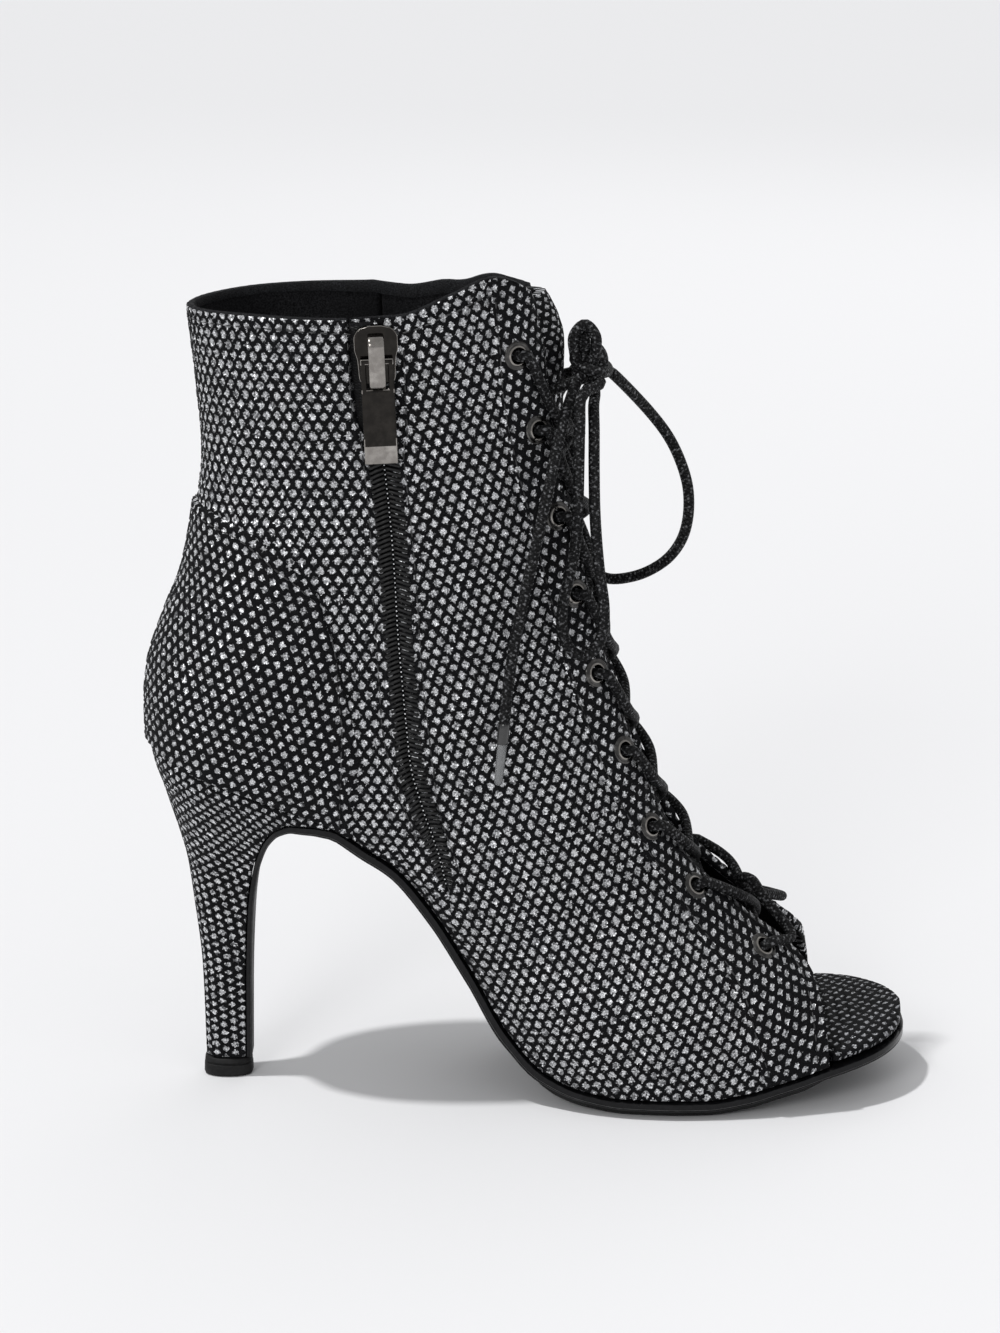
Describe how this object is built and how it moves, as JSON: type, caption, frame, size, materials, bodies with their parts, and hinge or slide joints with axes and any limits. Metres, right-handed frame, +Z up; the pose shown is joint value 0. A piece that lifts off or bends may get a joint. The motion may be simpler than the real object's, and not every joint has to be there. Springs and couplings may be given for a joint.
{
  "type": "high heel dance shoe",
  "caption": "Lace-up ankle-high dance shoe with a slim high heel, open toe, side zip and a bow, in black net over silver glitter.",
  "frame": {"origin": "on the floor under the ball of the foot, where the forefoot tread rests, in the middle plane of the heel", "axes": "+X towards the toe, +Y towards the outer side of the foot (the zip is on the -Y side), +Z up"},
  "size_m": [0.2091, 0.0809, 0.2268],
  "materials": {
    "glitter_net": "black net over silver glitter",
    "sole_leather": "satin black",
    "tread_rubber": "matt black",
    "zip_tape": "woven black tape with coil teeth",
    "black_nickel": "polished black nickel",
    "braided_lace": "round braid",
    "aglet_sleeve": "gloss"
  },
  "bodies": {
    "shoe": {"upper": "glitter_net", "outsole": "sole_leather", "forefoot_tread": "tread_rubber", "insole": "glitter_net", "heel": "glitter_net", "heel_tip": "tread_rubber", "tongue": "glitter_net", "zip_tape": "zip_tape", "zip_slider": "black_nickel", "eyelet_medial_1": "black_nickel", "eyelet_medial_2": "black_nickel", "eyelet_medial_3": "black_nickel", "eyelet_medial_4": "black_nickel", "eyelet_medial_5": "black_nickel", "eyelet_medial_6": "black_nickel", "eyelet_medial_7": "black_nickel", "eyelet_medial_8": "black_nickel", "eyelet_medial_9": "black_nickel", "eyelet_lateral_1": "black_nickel", "eyelet_lateral_2": "black_nickel", "eyelet_lateral_3": "black_nickel", "eyelet_lateral_4": "black_nickel", "eyelet_lateral_5": "black_nickel", "eyelet_lateral_6": "black_nickel", "eyelet_lateral_7": "black_nickel", "eyelet_lateral_8": "black_nickel", "eyelet_lateral_9": "black_nickel", "lace_cross_1": "braided_lace", "lace_cross_2": "braided_lace", "lace_cross_3": "braided_lace", "lace_cross_4": "braided_lace", "lace_cross_5": "braided_lace", "lace_cross_6": "braided_lace", "lace_cross_7": "braided_lace", "lace_cross_8": "braided_lace", "lace_bar": "braided_lace", "bow_knot": "braided_lace", "bow_loop_near": "braided_lace", "bow_loop_far": "braided_lace", "bow_tail_near": "braided_lace", "bow_tail_far": "braided_lace", "aglet_near": "aglet_sleeve", "aglet_far": "aglet_sleeve"},
    "pull": {"zip_pull": "black_nickel"}
  },
  "joints": [
    {"name": "pull_hinge", "type": "hinge", "parent": "shoe", "child": "pull", "pos_m": [-0.07944, -0.03608, 0.20731], "axis": [-0.9981, -0.0469, -0.0393], "range_deg": [0, 140]}
  ]
}
